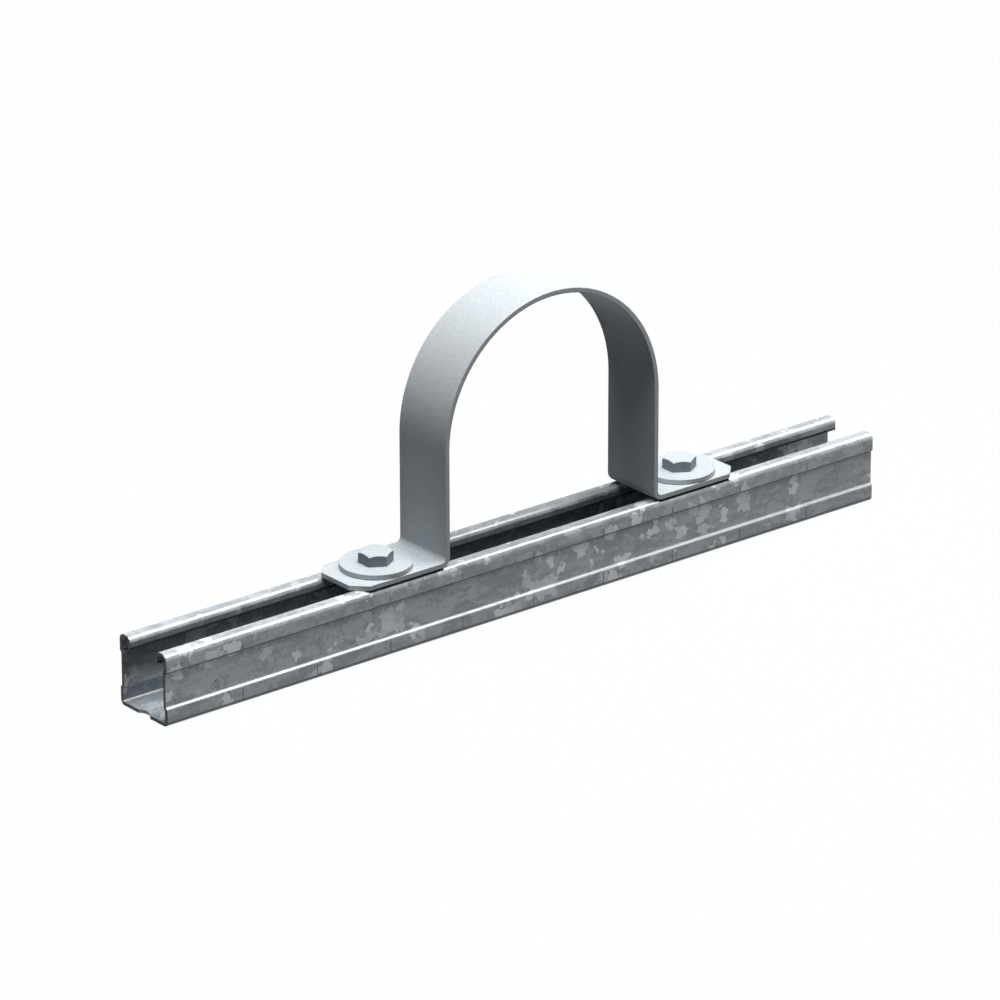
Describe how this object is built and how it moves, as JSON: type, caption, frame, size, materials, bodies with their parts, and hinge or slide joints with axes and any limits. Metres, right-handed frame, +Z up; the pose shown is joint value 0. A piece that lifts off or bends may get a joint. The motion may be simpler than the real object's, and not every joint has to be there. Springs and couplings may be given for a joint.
{
  "type": "pipe strap",
  "caption": "Flat steel pipe strap bolted with washers and channel nuts across the open slot of a galvanised strut channel, to hold a round pipe crossing it.",
  "frame": {"origin": "middle of the underside of the channel's web, halfway between its end cuts", "axes": "+X along the channel towards the end that is further from the strap's left foot, +Y across the channel along the pipe, +Z up out of the channel's open slot"},
  "size_m": [0.5, 0.0412, 0.1831],
  "materials": {
    "channel_sheet": "hot-dip galvanised sheet with a spangled surface",
    "strap_bar": "satin zinc-plated flat bar",
    "washer_plate": "satin zinc-plated plate",
    "bolt_steel": "zinc-plated forged and rolled bolt",
    "nut_steel": "zinc-plated block"
  },
  "bodies": {
    "root": {"strut_channel": "channel_sheet", "pipe_strap": "strap_bar", "washer_left": "washer_plate", "washer_right": "washer_plate", "hex_bolt_left": "bolt_steel", "hex_bolt_right": "bolt_steel", "channel_nut_left": "nut_steel", "channel_nut_right": "nut_steel"}
  },
  "joints": []
}
